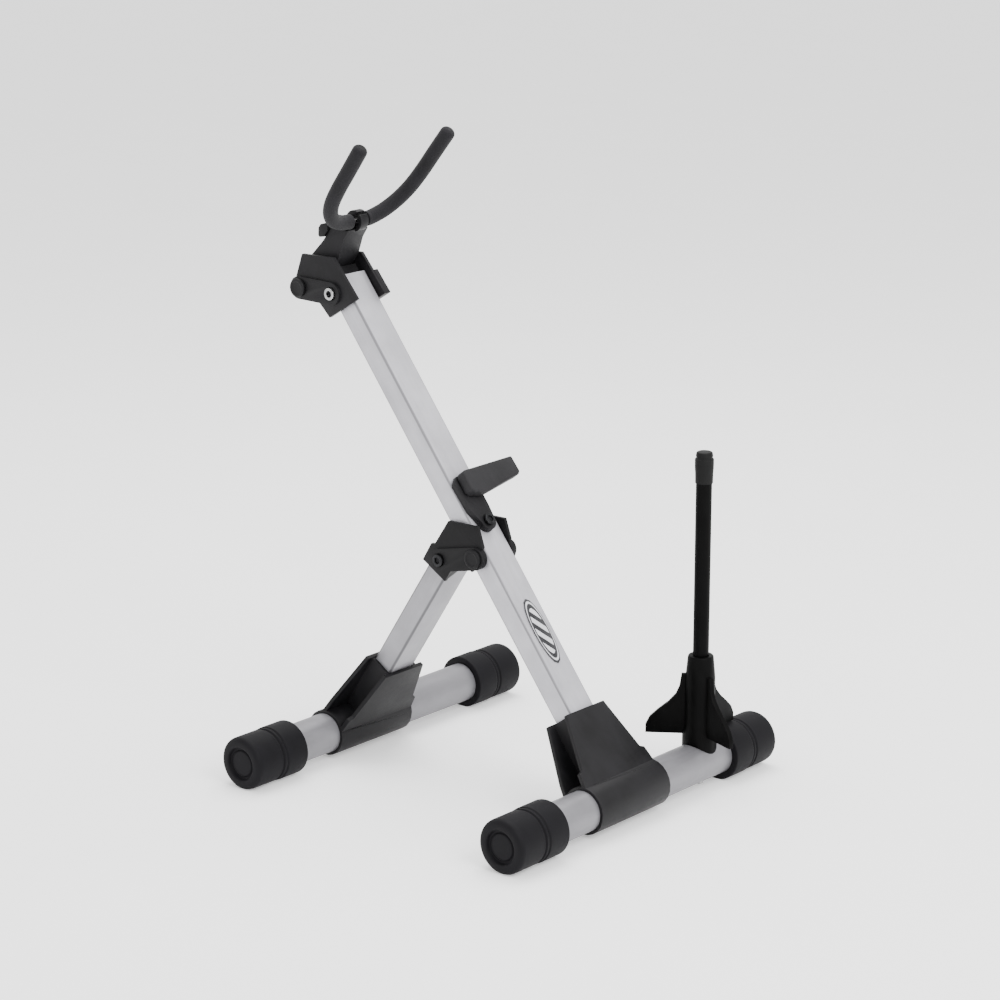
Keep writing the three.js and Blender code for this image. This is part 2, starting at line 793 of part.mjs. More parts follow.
function pegTip() {
  const { shaft, tip, top } = PEG;
  return turned(
    [
      [shaft + GAP, top - 26],
      [shaft + 0.7, top - 26],
      [tip - 0.5, top - 18],
      [tip, top - 13],
      [tip, top - 6],
      [tip - 0.9, top - 5],
      [tip - 0.9, top - 2.2],
      [tip - 2.4, top],
      [0, top],
      [0, top - 8],
      [shaft + GAP, top - 8],
      [shaft + GAP, top - 26],
    ],
    20,
  );
}

put(pegGroup, "peg_holder", pegHolder(), blackPlastic);
put(pegGroup, "peg_screw", pegScrew(), zinc);
put(pegGroup, "peg_shaft", barZ(PEG.shaft, PEG.bottom, PEG.top - 8 - GAP, 0, 0), blackPlastic);
put(pegGroup, "peg_tip", pegTip(), rubber);

// ---- The part's frame: its origin is on the floor, under the middle of its outer box -------------
stand.updateMatrixWorld(true);
const around = new THREE.Box3().setFromObject(stand, true);
const middle = around.getCenter(new THREE.Vector3());
stand.position.set(-middle.x, -middle.y, -around.min.z);

const part = new THREE.Group();
part.add(stand);
export default part;
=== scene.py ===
# The looks of a folding instrument stand: satin aluminium tubes, moulded black brackets, rubber foot caps,
# a foam-covered yoke, a lower rest and an upright peg, on a pale studio floor. Metres, +Z up.
import json
import math

import bmesh
import bpy
from mathutils import Matrix, Vector


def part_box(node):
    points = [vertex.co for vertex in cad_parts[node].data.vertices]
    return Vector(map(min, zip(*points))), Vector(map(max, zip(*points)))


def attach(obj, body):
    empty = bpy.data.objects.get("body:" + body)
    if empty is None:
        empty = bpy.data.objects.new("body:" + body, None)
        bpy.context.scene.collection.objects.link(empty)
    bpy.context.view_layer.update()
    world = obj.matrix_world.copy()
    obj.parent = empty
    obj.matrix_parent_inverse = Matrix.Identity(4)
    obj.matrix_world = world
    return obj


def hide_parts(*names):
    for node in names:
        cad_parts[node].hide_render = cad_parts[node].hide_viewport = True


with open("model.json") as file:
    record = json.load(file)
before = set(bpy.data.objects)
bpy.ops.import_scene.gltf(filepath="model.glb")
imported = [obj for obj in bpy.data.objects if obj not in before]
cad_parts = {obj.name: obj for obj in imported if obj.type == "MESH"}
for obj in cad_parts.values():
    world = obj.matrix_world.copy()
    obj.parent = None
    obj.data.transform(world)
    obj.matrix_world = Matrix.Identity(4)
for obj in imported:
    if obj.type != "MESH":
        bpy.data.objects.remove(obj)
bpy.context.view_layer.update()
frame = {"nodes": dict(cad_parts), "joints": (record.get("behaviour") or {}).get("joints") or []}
nodes = frame["nodes"]
MM = 0.001

# ---- Places, worked out from the frame ------------------------------------------------------------


def span(node):
    low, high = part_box(node)
    return Vector(low), Vector(high)


def middle(node):
    low, high = span(node)
    return (low + high) / 2


MAIN_LEAN = math.radians(37.2)  # the main tube leans back from the front foot
REAR_LEAN = math.radians(33.0)  # the rear leg leans forward from the rear foot
YOKE_LEAN = math.radians(38.0)  # the yoke leans forward
joint_places = {
    joint["name"]: Vector(joint["pos_m"]) for joint in frame["joints"] if "pos_m" in joint
}


def leaning(origin, lean):
    """A local frame at origin, with Z along a leaning tube, Y behind it and X across."""
    return Matrix.Translation(origin) @ Matrix.Rotation(lean, 4, "X")


front_foot = middle("front_foot_tube")
YOKE_FRAME = leaning(joint_places["yoke_tilt"], YOKE_LEAN)
PEG_AXIS = middle("peg_shaft")

# ---- Materials ------------------------------------------------------------------------------------
SILVER_TINT = (1.0, 0.985, 1.05)
ZINC_DARK = (0.3, 0.3, 0.31)
ZINC_LIGHT = (0.5, 0.5, 0.49)
BADGE_BLACK_AND_SOCKET_SHADE = (0.012, 0.012, 0.014)
BADGE_SILVER = (0.5, 0.5, 0.52)
BADGE_HALF = (9.2 * MM, 29.5 * MM)  # half width and half height


def new_material(name):
    material = bpy.data.materials.new(name)
    material.use_nodes = True
    tree = material.node_tree
    return material, tree, tree.nodes["Principled BSDF"]


def place_of(tree, turn=None, stretch=(1, 1, 1)):
    """Coordinates on the object, turned and stretched, for the textures below."""
    coordinates = tree.nodes.new("ShaderNodeTexCoord")
    mapping = tree.nodes.new("ShaderNodeMapping")
    if turn:
        mapping.inputs["Rotation"].default_value = turn
    spread = tree.nodes.new("ShaderNodeMapping")
    spread.inputs["Scale"].default_value = stretch
    tree.links.new(coordinates.outputs["Object"], mapping.inputs["Vector"])
    tree.links.new(mapping.outputs["Vector"], spread.inputs["Vector"])
    return spread.outputs["Vector"]


def noise(tree, where, scale, detail=4, roughness=0.55):
    """A noise texture's value. The scale is in cells to the metre."""
    node = tree.nodes.new("ShaderNodeTexNoise")
    node.inputs["Scale"].default_value = scale
    node.inputs["Detail"].default_value = detail
    node.inputs["Roughness"].default_value = roughness
    tree.links.new(where, node.inputs["Vector"])
    return node.outputs["Fac"]


def ranged(tree, value, low, high, from_low=0.3, from_high=0.7):
    """Maps a value from one range to another, and keeps it inside."""
    node = tree.nodes.new("ShaderNodeMapRange")
    node.inputs["From Min"].default_value = from_low
    node.inputs["From Max"].default_value = from_high
    node.inputs["To Min"].default_value = low
    node.inputs["To Max"].default_value = high
    tree.links.new(value, node.inputs["Value"])
    return node.outputs["Result"]


def mixed(tree, factor, first, second):
    """Mixes two plain colours."""
    node = tree.nodes.new("ShaderNodeMix")
    node.data_type = "RGBA"
    tree.links.new(factor, node.inputs[0])
    node.inputs[6].default_value = (*first, 1)
    node.inputs[7].default_value = (*second, 1)
    return node.outputs[2]


def added(tree, first, second, weight):
    """The first value and a share of the second."""
    node = tree.nodes.new("ShaderNodeMath")
    node.operation = "MULTIPLY_ADD"
    node.inputs[1].default_value = weight
    tree.links.new(second, node.inputs[0])
    tree.links.new(first, node.inputs[2])
    return node.outputs[0]


def covered(tree, factor, colour, plain):
    """Covers a colour with a plain one, as far as the factor says."""
    node = tree.nodes.new("ShaderNodeMix")
    node.data_type = "RGBA"
    tree.links.new(factor, node.inputs[0])
    tree.links.new(colour, node.inputs[6])
    node.inputs[7].default_value = (*plain, 1)
    return node.outputs[2]


def calculated(tree, operation, first, second=None):
    """A sum on one or two linked values."""
    node = tree.nodes.new("ShaderNodeMath")
    node.operation = operation
    tree.links.new(first, node.inputs[0])
    if second:
        tree.links.new(second, node.inputs[1])
    return node.outputs[0]


def bumped(tree, shader, height, distance, strength):
    """Fine relief on the surface. The distance is its depth in metres."""
    node = tree.nodes.new("ShaderNodeBump")
    node.inputs["Strength"].default_value = strength
    node.inputs["Distance"].default_value = distance
    tree.links.new(height, node.inputs["Height"])
    tree.links.new(node.outputs["Normal"], shader.inputs["Normal"])


def painted_corner_shade(tree, colour, turn, dark):
    """Darkens the narrow rounded corners of a square tube with painted shade, in place of the highlight they
    catch.
    """
    coordinates = tree.nodes.new("ShaderNodeTexCoord")
    mapping = tree.nodes.new("ShaderNodeMapping")
    mapping.inputs["Rotation"].default_value = turn
    split = tree.nodes.new("ShaderNodeSeparateXYZ")
    tree.links.new(coordinates.outputs["Normal"], mapping.inputs["Vector"])
    tree.links.new(mapping.outputs["Vector"], split.inputs["Vector"])
    product = calculated(tree, "MULTIPLY", split.outputs["X"], split.outputs["Y"])
    # A flat face gives 0, and the middle of a rounded corner 0.5.
    corner = ranged(tree, calculated(tree, "ABSOLUTE", product), 0, 1, 0.1, 0.4)
    return covered(tree, corner, colour, dark)


def satin_aluminium(name, turn, along, tone_level):
    """Drawn tube: a fine grain along its length (axis 0 or 2, once turned), under a satin silver finish
    with slight mottling, and painted shade along its rounded corners."""
    material, tree, shader = new_material(name)
    stretch = [1.0, 1.0, 1.0]
    stretch[along] = 0.04
    grain = noise(tree, place_of(tree, turn, stretch), 900, 3)
    mottle = noise(tree, place_of(tree), 38)
    speckle = noise(tree, place_of(tree), 1500, 2)
    tone = added(tree, mottle, grain, 0.35)
    tint = Vector(SILVER_TINT) * tone_level
    colour = mixed(tree, ranged(tree, tone, 0, 1, 0.45, 0.9), tint * 0.88, tint * 1.08)
    # Painted shade on the tube's rounded corners.
    corner_shaded = painted_corner_shade(tree, colour, turn, tint * 0.4)
    tree.links.new(corner_shaded, shader.inputs["Base Color"])
    tree.links.new(ranged(tree, grain, 0.36, 0.5), shader.inputs["Roughness"])
    shader.inputs["Metallic"].default_value = 0.45
    bumped(tree, shader, added(tree, grain, speckle, 0.6), 0.00005, 0.55)
    return material


def moulded(name, dark, light, rough, grain_scale, grain_depth, gloss):
    """Moulded plastic or rubber: fine spark texture, slight rubbing marks and an uneven sheen. grain_scale
    is in cells to the metre and grain_depth in metres."""
    material, tree, shader = new_material(name)
    where = place_of(tree)
    cloud = noise(tree, where, 30, 5)
    rubs = noise(tree, place_of(tree, (0.4, 0.2, 0.9), (1, 1, 0.12)), 260, 3)
    grain = noise(tree, where, grain_scale, 3, 0.7)
    tone = added(tree, cloud, rubs, 0.4)
    colour = mixed(tree, ranged(tree, tone, 0, 1, 0.5, 0.9), dark, light)
    tree.links.new(colour, shader.inputs["Base Color"])
    sheen = ranged(tree, tone, rough - 0.06, rough + 0.08, 0.5, 0.9)
    tree.links.new(sheen, shader.inputs["Roughness"])
    shader.inputs["Specular IOR Level"].default_value = gloss
    bumped(tree, shader, added(tree, grain, rubs, 0.25), grain_depth, 0.7)
    return material


def foam_rubber(name):
    """Closed-cell foam tube: small pores in a soft dark skin."""
    material, tree, shader = new_material(name)
    where = place_of(tree)
    cells = tree.nodes.new("ShaderNodeTexVoronoi")
    cells.inputs["Scale"].default_value = 1100
    tree.links.new(where, cells.inputs["Vector"])
    pores = cells.outputs["Distance"]
    cloud = noise(tree, where, 60, 5)
    tone = added(tree, cloud, pores, 0.3)
    pale = ranged(tree, tone, 0, 1, 0.45, 0.85)
    colour = mixed(tree, pale, (0.0032, 0.003, 0.0038), (0.009, 0.0085, 0.0102))
    tree.links.new(colour, shader.inputs["Base Color"])
    tree.links.new(ranged(tree, cloud, 0.78, 0.92), shader.inputs["Roughness"])
    shader.inputs["Sheen Weight"].default_value = 0.04
    shader.inputs["Specular IOR Level"].default_value = 0.2
    shader.inputs["Sheen Roughness"].default_value = 0.5
    bumped(tree, shader, added(tree, cloud, pores, 1.2), 0.00018, 0.8)
    return material


def painted_socket_shade(tree, colour, centre, radius):
    """Paints shade into a bolt's hexagon socket: darkens all within the radius of an axis along X through
    the centre.
    """
    coordinates = tree.nodes.new("ShaderNodeTexCoord")
    offset = tree.nodes.new("ShaderNodeVectorMath")
    offset.operation = "SUBTRACT"
    offset.inputs[1].default_value = centre
    across = tree.nodes.new("ShaderNodeVectorMath")
    across.operation = "MULTIPLY"
    across.inputs[1].default_value = (0, 1, 1)
    length = tree.nodes.new("ShaderNodeVectorMath")
    length.operation = "LENGTH"
    tree.links.new(coordinates.outputs["Object"], offset.inputs[0])
    tree.links.new(offset.outputs["Vector"], across.inputs[0])
    tree.links.new(across.outputs["Vector"], length.inputs[0])
    inside = ranged(tree, length.outputs["Value"], 1, 0, radius * 0.92, radius)
    # The socket's painted shade uses the badge's black.
    return covered(tree, inside, colour, BADGE_BLACK_AND_SOCKET_SHADE)


def plated_steel(name, dark, light, smooth, socket=None):
    """Plated metal, with fine turning marks. A bolt's socket, darkened with painted shade, is given as its
    centre and radius.
    """
    material, tree, shader = new_material(name)
    turned = noise(tree, place_of(tree, None, (1, 1, 0.2)), 700, 3)
    colour = mixed(tree, ranged(tree, turned, 0, 1), dark, light)
    if socket:
        colour = painted_socket_shade(tree, colour, *socket)
    tree.links.new(colour, shader.inputs["Base Color"])
    tree.links.new(ranged(tree, turned, smooth, smooth + 0.16), shader.inputs["Roughness"])
    shader.inputs["Metallic"].default_value = 1.0
    bumped(tree, shader, turned, 0.00004, 0.5)
    return material


def badge_face(name, local):
    """Oval badge with no lettering: black gloss, a thin silver rim and plain slanting silver bars. local is
    the badge's own frame, with Z along the oval and X across it."""
    material, tree, shader = new_material(name)
    coordinates = tree.nodes.new("ShaderNodeTexCoord")
    mapping = tree.nodes.new("ShaderNodeMapping")
    mapping.vector_type = "TEXTURE"
    mapping.inputs["Location"].default_value = local.to_translation()
    mapping.inputs["Rotation"].default_value = local.to_euler()
    mapping.inputs["Scale"].default_value = (BADGE_HALF[0], 1, BADGE_HALF[1])
    squash = tree.nodes.new("ShaderNodeVectorMath")
    squash.operation = "MULTIPLY"
    squash.inputs[1].default_value = (1, 0, 1)
    length = tree.nodes.new("ShaderNodeVectorMath")
    length.operation = "LENGTH"
    tree.links.new(coordinates.outputs["Object"], mapping.inputs["Vector"])
    tree.links.new(mapping.outputs["Vector"], squash.inputs[0])
    tree.links.new(squash.outputs["Vector"], length.inputs[0])
    ramp = tree.nodes.new("ShaderNodeValToRGB")
    stops = ramp.color_ramp.elements
    # Across the oval, from 0 in the middle to 1 at the edge: black, then the rim, then black again.
    stops[0].position, stops[0].color = 0.83, (*BADGE_BLACK_AND_SOCKET_SHADE, 1)
    stops[1].position, stops[1].color = 0.86, (*BADGE_SILVER, 1)
    for position, colour in ((0.9, BADGE_SILVER), (0.93, BADGE_BLACK_AND_SOCKET_SHADE)):
        stop = stops.new(position)
        stop.color = (*colour, 1)
    tree.links.new(length.outputs["Value"], ramp.inputs["Fac"])

    def step(operation, value, *numbers):
        node = tree.nodes.new("ShaderNodeMath")
        node.operation = operation
        for index, number in enumerate(numbers, 1):
            node.inputs[index].default_value = number
        tree.links.new(value, node.inputs[0])
        return node.outputs[0]

    slant = tree.nodes.new("ShaderNodeVectorMath")
    slant.operation = "DOT_PRODUCT"
    slant.inputs[1].default_value = (0.35, 0, 1)
    tree.links.new(mapping.outputs["Vector"], slant.inputs[0])
    count = step("MULTIPLY_ADD", slant.outputs["Value"], 2.4, 0.25)
    bars = step("GREATER_THAN", step("FRACT", count), 0.5)
    inside = step("LESS_THAN", length.outputs["Value"], 0.7)
    both = calculated(tree, "MULTIPLY", bars, inside)
    face = covered(tree, both, ramp.outputs["Color"], BADGE_SILVER)
    tree.links.new(face, shader.inputs["Base Color"])
    smudge = noise(tree, place_of(tree), 120)
    tree.links.new(ranged(tree, smudge, 0.16, 0.32), shader.inputs["Roughness"])
    bumped(tree, shader, smudge, 0.00003, 0.4)
    return material


# All the tubes are the same satin aluminium; the lower tone levels of the rear and foot tubes are painted
# shade.
aluminium_main = satin_aluminium("satin_aluminium_main", (MAIN_LEAN, 0, 0), 2, 0.4)
aluminium_rear = satin_aluminium("satin_aluminium_rear_shaded", (-REAR_LEAN, 0, 0), 2, 0.26)
aluminium_foot = satin_aluminium("satin_aluminium_foot_shaded", (0, 0, 0), 0, 0.175)
plastic = moulded(
    "moulded_black",
    dark=(0.0028, 0.0026, 0.0031),
    light=(0.0075, 0.0071, 0.0083),
    rough=0.5,
    grain_scale=1300,
    grain_depth=0.00009,
    gloss=0.17,
)
deep_plastic = moulded(
    "deep_black",
    dark=(0.0008, 0.0008, 0.0008),
    light=(0.0022, 0.0022, 0.0022),
    rough=0.44,
    grain_scale=1300,
    grain_depth=0.00007,
    gloss=0.045,
)
rubber = moulded(
    "black_rubber",
    dark=(0.0021, 0.0019, 0.0026),
    light=(0.005, 0.0047, 0.006),
    rough=0.6,
    grain_scale=1000,
    grain_depth=0.0001,
    gloss=0.1,
)
peg_rubber = moulded(
    "peg_rubber",
    dark=(0.002, 0.002, 0.002),
    light=(0.005, 0.005, 0.005),
    rough=0.55,
    grain_scale=1000,
    grain_depth=0.0001,
    gloss=0.12,
)
foam = foam_rubber("foam_rubber")
zinc = plated_steel("zinc_plate", ZINC_DARK, ZINC_LIGHT, 0.2)
# The top bolt's hexagon socket is painted dark, as shade.
zinc_bolt_socket_shade = plated_steel("zinc_bolt_socket_shade", ZINC_DARK, ZINC_LIGHT, 0.2, (middle("top_bolt"), 3 * MM))
black_steel = plated_steel("black_oxide", (0.012, 0.012, 0.013), (0.035, 0.035, 0.037), 0.34)
knee_plastic = moulded(
    "knee_black",
    dark=(0.0022, 0.0021, 0.0024),
    light=(0.0055, 0.0053, 0.006),
    rough=0.48,
    grain_scale=1300,
    grain_depth=0.00008,
    gloss=0.13,
)
pad_rubber = moulded(
    "pad_rubber",
    dark=(0.005, 0.0048, 0.0055),
    light=(0.013, 0.0125, 0.014),
    rough=0.62,
    grain_scale=800,
    grain_depth=0.00016,
    gloss=0.2,
)
nylon = moulded(
    "natural_nylon",
    dark=(0.55, 0.52, 0.45),
    light=(0.66, 0.63, 0.55),
    rough=0.5,
    grain_scale=900,
    grain_depth=0.00005,
    gloss=0.4,
)

# ---- Mesh building --------------------------------------------------------------------------------
SMOOTH_ANGLE = math.radians(32)


def finish_piece(piece, material, body, replaced):
    """Gives a new piece its material and its smooth surface, and puts it on its body."""
    piece.data.materials.append(material)
    piece.data.shade_smooth()
    piece.data.set_sharp_from_angle(angle=SMOOTH_ANGLE)
    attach(piece, body)
    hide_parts(*replaced)


def add_bevel(piece, width):
    rounding = piece.modifiers.new("edges", "BEVEL")
    rounding.width = width
    rounding.segments = 3
    rounding.limit_method = "ANGLE"
    rounding.angle_limit = SMOOTH_ANGLE


def object_from(mesh_builder, name):
    """Makes an object of a finished mesh builder, with its faces pointing out."""
    mesh = bpy.data.meshes.new(name)
    mesh_builder.normal_update()
    bmesh.ops.recalc_face_normals(mesh_builder, faces=mesh_builder.faces)
    mesh_builder.to_mesh(mesh)
    mesh_builder.free()
    piece = bpy.data.objects.new(name, mesh)
    bpy.context.scene.collection.objects.link(piece)
    return piece


def fillet(profile, radii, steps=5):
    """Rounds the corners of an open (radius, height) profile. A radius of 0 leaves a corner sharp."""
    points = []
    for index, (place, radius) in enumerate(zip(profile, radii)):
        if not radius:
            points.append(place)
            continue
        here = Vector(place)
        before = (Vector(profile[index - 1]) - here).normalized()
        after = (Vector(profile[index + 1]) - here).normalized()
        first, last = here + before * radius, here + after * radius
        for step in range(steps + 1):
            t = step / steps
            bend = first * (1 - t) ** 2 + here * 2 * t * (1 - t) + last * t**2
            points.append((bend.x, bend.y))
    return points


def lathe(name, profile, place, segments, flat=None):
    """A closed (radius, height) profile in mm, turned round Z and put in its place. A point on the axis is
    shared. flat is a local X in mm, and all that lies below it is pressed flat."""
    builder = bmesh.new()
    rings = []
    for radius, height in profile:
        if radius < 1e-6:
            rings.append([builder.verts.new((0, 0, height * MM))] * segments)
            continue
        ring = []
        for step in range(segments):
            turn = 2 * math.pi * step / segments
            x = radius * math.cos(turn)
            if flat is not None:
                x = max(x, flat)
            ring.append(builder.verts.new((x * MM, radius * math.sin(turn) * MM, height * MM)))
        rings.append(ring)
    for first, second in zip(rings, rings[1:] + rings[:1]):
        for step in range(segments):
            after = (step + 1) % segments
            corners = list(dict.fromkeys((first[step], first[after], second[after], second[step])))
            if len(corners) > 2:
                builder.faces.new(corners)
    builder.transform(place)
    return object_from(builder, name)


def along_x(centre, hand=1):
    """A place whose Z runs along X, outwards on the side given by hand, and whose X points up."""
    basis = Matrix(((0, 0, hand, 0), (0, hand, 0, 0), (1, 0, 0, 0), (0, 0, 0, 1)))
    return Matrix.Translation(centre) @ basis


def swept(name, line, radii, side, sides):
    """A round section along a line of places in one plane, closed at both ends. radii gives its radius in mm
    at each place, and side is the plane's normal."""
    builder = bmesh.new()
    rings = []
    for index, (place, radius) in enumerate(zip(line, radii)):
        ahead = line[min(index + 1, len(line) - 1)] - line[max(index - 1, 0)]
        across = side.cross(ahead).normalized()
        ring = []
        for step in range(sides):
            turn = 2 * math.pi * step / sides
            outwards = side * math.cos(turn) + across * math.sin(turn)
            ring.append(builder.verts.new(place + outwards * radius * MM))
        rings.append(ring)
    for first, second in zip(rings, rings[1:]):
        for step in range(sides):
            after = (step + 1) % sides
            builder.faces.new((first[step], first[after], second[after], second[step]))
    builder.faces.new(list(reversed(rings[0])))
    builder.faces.new(rings[-1])
    return object_from(builder, name)


# ---- CAD pieces that keep their shape -------------------------------------------------------------
def smoothing_nodes():
    """Geometry nodes that shade every face smooth, apart from edges sharper than the smoothing angle."""
    tree = bpy.data.node_groups.new("smooth_by_angle", "GeometryNodeTree")
    tree.interface.new_socket("Geometry", in_out="INPUT", socket_type="NodeSocketGeometry")
    tree.interface.new_socket("Geometry", in_out="OUTPUT", socket_type="NodeSocketGeometry")
    source = tree.nodes.new("NodeGroupInput")
    result = tree.nodes.new("NodeGroupOutput")
    plain = tree.nodes.new("GeometryNodeRemoveAttribute")
    plain.inputs["Name"].default_value = "custom_normal"
    faces = tree.nodes.new("GeometryNodeSetShadeSmooth")
    edges = tree.nodes.new("GeometryNodeSetShadeSmooth")
    edges.domain = "EDGE"
    angle = tree.nodes.new("GeometryNodeInputMeshEdgeAngle")
    soft = tree.nodes.new("FunctionNodeCompare")
    soft.operation = "LESS_EQUAL"
    soft.inputs[1].default_value = SMOOTH_ANGLE
    tree.links.new(angle.outputs["Unsigned Angle"], soft.inputs[0])
    tree.links.new(soft.outputs["Result"], edges.inputs["Shade Smooth"])
    tree.links.new(source.outputs[0], plain.inputs["Geometry"])
    tree.links.new(plain.outputs["Geometry"], faces.inputs["Geometry"])
    tree.links.new(faces.outputs["Geometry"], edges.inputs["Geometry"])
    tree.links.new(edges.outputs["Geometry"], result.inputs[0])
    return tree


smooth_by_angle = smoothing_nodes()
WELD_DISTANCE = 0.02 * MM
FLAT_ANGLE = math.radians(0.6)


def dress(name, material, bevel):
    """Rounds a CAD piece's edges, smooths its round faces and gives it its material."""
    piece = nodes[name]
    welded = piece.modifiers.new("weld", "WELD")
    welded.merge_threshold = WELD_DISTANCE
    whole = piece.modifiers.new("whole_faces", "DECIMATE")
    whole.decimate_type = "DISSOLVE"
    whole.angle_limit = FLAT_ANGLE
    add_bevel(piece, bevel)
    smoothed = piece.modifiers.new("smooth", "NODES")
    smoothed.node_group = smooth_by_angle
    piece.data.materials.clear()
    piece.data.materials.append(material)


kept_pieces = {  # each piece's material, and its edges' rounding in mm
    "main_tube": (aluminium_main, 0.25),
    "rear_tube": (aluminium_rear, 0.25),
    "front_socket": (plastic, 0.7),
    "rear_socket": (plastic, 0.7),
    "knee_fork": (knee_plastic, 0.6),
    "top_fork": (plastic, 0.6),
    "yoke_arm": (plastic, 0.6),
    "yoke_wing_screw": (plastic, 0.8),
    "rest_base": (plastic, 0.5),
    "rest_arm": (plastic, 0.7),
    "rest_pad": (pad_rubber, 1.6),
    "peg_holder": (deep_plastic, 0.6),
    "front_socket_screw": (zinc, 0.3),
    "rear_socket_screw": (zinc, 0.3),
    "knee_bolt": (black_steel, 0.3),
    "knee_nut": (black_steel, 0.3),
    "top_bolt": (zinc_bolt_socket_shade, 0.3),
    "top_nut": (zinc, 0.3),
    "rest_bolt": (black_steel, 0.3),
    "rest_insert": (zinc, 0.2),
    "peg_screw": (zinc, 0.3),
    "top_pivot_pin": (zinc, 0.3),
    "knee_pivot_pin": (zinc, 0.3),
    "knee_bush": (nylon, 0.2),
    "yoke_rod": (zinc, 0.2),
}
for name, (material, bevel) in kept_pieces.items():
    dress(name, material, bevel * MM)
badge_place = leaning(middle("badge"), -MAIN_LEAN)
dress("badge", badge_face("badge_face", badge_place), 0.2 * MM)

# ---- Foot tubes -----------------------------------------------------------------------------------
TUBE_RADIUS = 17
TUBE_BORE = 15.5
TUBE_EDGE = 0.4  # the chamfer at the tube's ends


def foot_tube(name, body):
    """A round drawn tube along X, open at both ends."""
    low, high = span(name)
    half = (high.x - low.x) / 2 / MM
    profile = [
        (TUBE_BORE, -half),
        (TUBE_RADIUS - TUBE_EDGE, -half),
        (TUBE_RADIUS, -half + TUBE_EDGE),
        (TUBE_RADIUS, half - TUBE_EDGE),
        (TUBE_RADIUS - TUBE_EDGE, half),
        (TUBE_BORE, half),
    ]
    piece = lathe(f"{name}_drawn", profile, along_x(middle(name)), segments=128)
    finish_piece(piece, aluminium_foot, body, [name])


foot_tube("front_foot_tube", "main_frame")
foot_tube("rear_foot_tube", "rear_leg")

# ---- Foot caps ------------------------------------------------------------------------------------
CAP_LENGTH = 57.5
CAP_RADIUS = 22.5
CAP_COLLAR = 23.0
CAP_BORE = 17.3
CAP_FLAT = -22.2  # the moulded flat that stands on the floor, below the cap's axis
CAP_GROOVE = 25.8  # from the mouth to the double groove
CAP_END = 8.2  # the closed end's thickness


def cap_profile():
    """From the mouth to the closed end: a collar, a double groove, the tread and a dished end."""
    groove = CAP_GROOVE
    outside = [
        (CAP_BORE, 0),
        (CAP_COLLAR, 0),
        (CAP_COLLAR, groove - 3.2),
        (CAP_COLLAR - 0.9, groove - 2.4),
        (CAP_COLLAR - 0.9, groove - 1.2),
        (CAP_RADIUS + 0.1, groove - 0.6),
        (CAP_RADIUS + 0.1, groove + 0.8),
        (CAP_RADIUS - 1, groove + 1.6),
        (CAP_RADIUS - 1, groove + 3.0),
        (CAP_RADIUS, groove + 3.8),
        (CAP_RADIUS, CAP_LENGTH),
        (14.2, CAP_LENGTH),
        (13.2, CAP_LENGTH - 3),
        (11.6, CAP_LENGTH - 3.2),
        (10.6, CAP_LENGTH - 2),
        (0, CAP_LENGTH - 1.6),
    ]
    radii = [0, 1.2, 0.5, 0.25, 0.25, 0.3, 0.3, 0.25, 0.25, 0.4, 5.2, 1.2, 0.6, 0.5, 0.7, 0]
    floor = CAP_LENGTH - CAP_END
    return fillet(outside, radii) + [(0, floor), (CAP_BORE, floor)]


for place, body in (("front", "main_frame"), ("rear", "rear_leg")):
    for side, hand in (("left", -1), ("right", 1)):
        node = f"{place}_cap_{side}"
        low, high = span(node)
        centre = middle(f"{place}_foot_tube")
        centre.x = low.x if hand > 0 else high.x
        cap = lathe(f"{node}_moulded", cap_profile(), along_x(centre, hand), 112, flat=CAP_FLAT)
        finish_piece(cap, rubber, body, [node])

# ---- Pivot caps -----------------------------------------------------------------------------------
pivot_profile = fillet(
    [(0, 0), (8, 0), (8, 2.6), (5.6, 2.6), (5.2, 2.1), (0, 2.1)],
    [0, 0.3, 1.1, 0.3, 0.4, 0],
)
for place, body, material in (("knee", "rear_leg", knee_plastic), ("top", "main_frame", plastic)):
    for side, hand in (("left", -1), ("right", 1)):
        node = f"{place}_pivot_cap_{side}"
        low, high = span(node)
        centre = middle(node)
        centre.x = low.x if hand > 0 else high.x
        cap = lathe(f"{node}_moulded", pivot_profile, along_x(centre, hand), 64)
        finish_piece(cap, material, body, [node])

# ---- Yoke sleeves and their tips ------------------------------------------------------------------
SLEEVE_RADIUS = 6.3
SLEEVE_STARTS = {"left": 7, "right": 11}  # from the yoke's middle, clear of its clip
TIP_FLAT = 1.9  # the radius of the small flat at a tip's end
BEND_START = 17
YOKE_LIFT = 0.065  # how far the right half rises, and the left falls, for each mm beyond the bend's start
YOKE_LINE = [(17, 0.6), (29, 6), (39, 16), (45.5, 29), (48.5, 45), (49.8, 68), (51, 87.4)]


def yoke_line(hand, start):
    """Half of the yoke's centre line in its own plane, in mm, from the clip outwards."""
    places = [(start, 0), ((start + BEND_START) / 2, 0), *YOKE_LINE]
    line = []
    for x, z in places:
        rise = hand * YOKE_LIFT * max(0, x - BEND_START)
        line.append(Vector((hand * x, 0, z + rise)))
    return line


def blended(first, second, low, high, t):
    """The place at t on a straight stretch that runs from low to high."""
    return first * ((high - t) / (high - low)) + second * ((t - low) / (high - low))


def smooth_line(places, steps):
    """A centripetal Catmull-Rom curve through the places."""
    ends = [places[0] * 2 - places[1], *places, places[-1] * 2 - places[-2]]
    line = []
    for index in range(1, len(ends) - 2):
        before, here, after, beyond = ends[index - 1 : index + 3]
        knots = [0.0]
        for first, second in ((before, here), (here, after), (after, beyond)):
            knots.append(knots[-1] + (second - first).length ** 0.5)
        for step in range(steps):
            t = knots[1] + (knots[2] - knots[1]) * step / steps
            first = blended(before, here, knots[0], knots[1], t)
            second = blended(here, after, knots[1], knots[2], t)
            third = blended(after, beyond, knots[2], knots[3], t)
            first = blended(first, second, knots[0], knots[2], t)
            second = blended(second, third, knots[1], knots[3], t)
            line.append(blended(first, second, knots[1], knots[2], t))
    return [*line, places[-1]]


